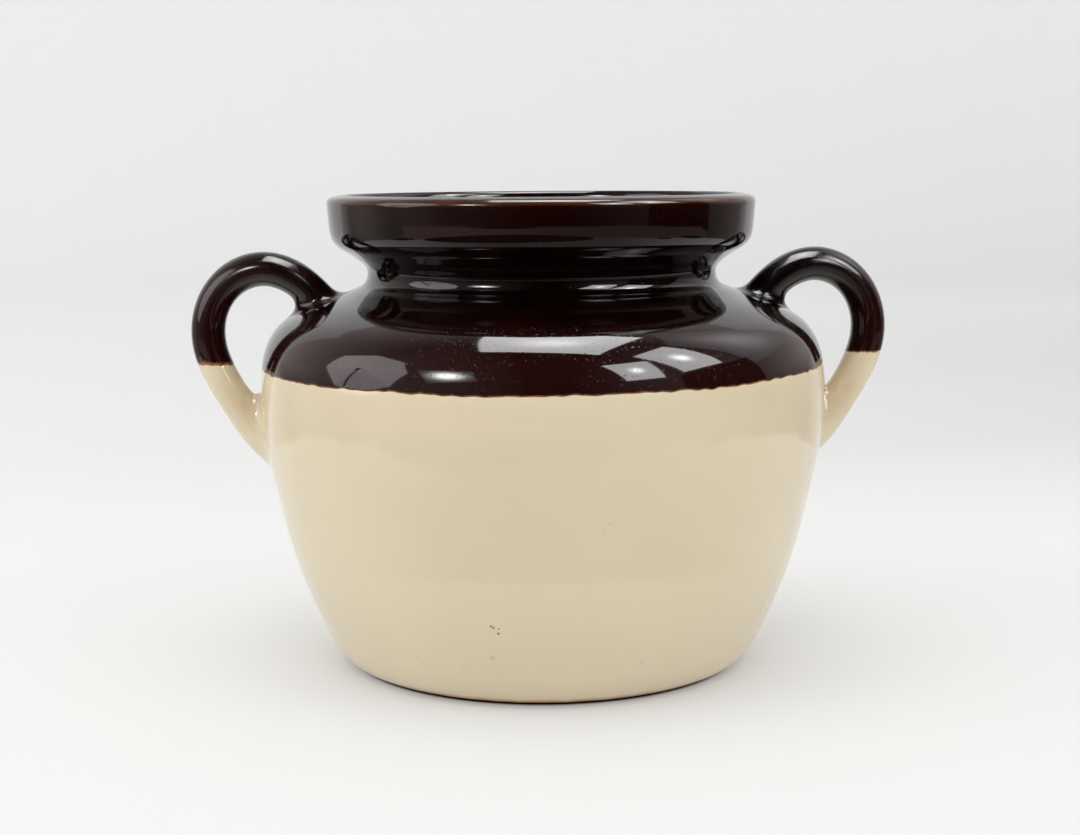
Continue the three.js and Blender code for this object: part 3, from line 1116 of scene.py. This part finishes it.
def soft_light(name, azimuth, elevation, distance, size, power):
    """A square soft light that lights surfaces without showing in them."""
    data = bpy.data.lights.new(name, "AREA")
    data.size = size * MM
    data.energy = power
    light = linked(name, data)
    toward = direction(azimuth, elevation)
    light.location = (EYE + toward * distance) * MM
    light.rotation_mode = "QUATERNION"
    light.rotation_quaternion = toward.to_track_quat("Z", "Y")
    light.visible_glossy = False
    light.visible_camera = False


def lights():
    soft_light("top_light", -30, 75, 1200, 900, 3.4)
    soft_light("right_light", 55, 38, 1500, 700, 2.2)
    soft_light("left_light", -75, 30, 1300, 900, 3.0)
    panel("overhead", [(-164, 64.2), (-48.3, 64.5), (29.8, 58.9), (125.4, 65.2)], 1200, 7.6, 13.5, 0.45)
    panel("window_near", [(22.3, 41.3), (45.6, 42.9), (45.8, 20.2), (28.9, 19.6)], 1500, 6.6, 25, 0.26)
    panel("window_far", [(44.6, 51.5), (79.5, 58.4), (76.2, 26.7), (54.9, 23.2)], 1500, 6.4, 25, 0.26)
    panel("strobe", [(-57.4, 29), (-34.4, 32.6), (-29.7, 20.5), (-49.3, 16.1)], 1300, 0.6, 30, 0.5)
    umbrella("umbrella", -80.5, 21, 1200, 385, 2.6)
    board("stand", [(-82.4, 20.5), (-83.6, 20.5), (-86.4, 5), (-85.2, 5)], 1050)
    board("hub", [(-82, 21.8), (-84.4, 21.8), (-84.4, 19.4), (-82, 19.4)], 1060)
    panel("spark", [(-81.4, 20.2), (-82.4, 20.2), (-82.4, 19), (-81.4, 19)], 1040, 4, 8)
    panel("high_right", [(84, 58), (140, 60), (136, 22), (90, 18)], 1700, 0.6, 2.1, 0.6, (1, 0.96, 0.98))
    board("flag", [(52, 20), (90, 26), (94, -22), (52, -22)], 1300)


def place_camera():
    data = bpy.data.cameras.new("camera")
    data.sensor_width = 36
    data.lens = LENS
    data.clip_start = 0.01
    data.clip_end = 50
    camera = linked("camera", data)
    a = math.radians(CAMERA_AZIMUTH)
    outward = Vector((math.sin(a), -math.cos(a), 0))
    right = Vector((math.cos(a), math.sin(a), 0))
    place = outward * CAMERA_DISTANCE + right * CAMERA_ASIDE
    place.z = CAMERA_HEIGHT
    camera.location = place * MM
    turn = Matrix.Rotation(a, 3, "Z") @ Matrix.Rotation(math.radians(90 - CAMERA_PITCH), 3, "X")
    turn = turn @ Matrix.Rotation(math.radians(CAMERA_ROLL), 3, "Z")
    camera.rotation_mode = "QUATERNION"
    camera.rotation_quaternion = turn.to_quaternion()
    bpy.context.scene.camera = camera


# ---------------------------------------------------------------- the scene

brown = brown_glaze_material()
cream = cream_glaze_material()
clay = clay_material()

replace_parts(brown_body(brown), "brown_glaze")
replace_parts(cream_body(cream), "cream_glaze")
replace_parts(clay_body(clay), "pot_body")
skirts = handle_skirts()
for side in ("left", "right"):
    brown_part, cream_part, clay_part = handle_pieces(side, *skirts, brown, cream, clay)
    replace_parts(brown_part, "brown_glaze")
    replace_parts(cream_part, "cream_glaze")
    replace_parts(clay_part, f"handle_{side}")

sweep()
surroundings()
dim_room()
table_top()
lights()
place_camera()
bpy.context.scene.view_settings.view_transform = "Standard"
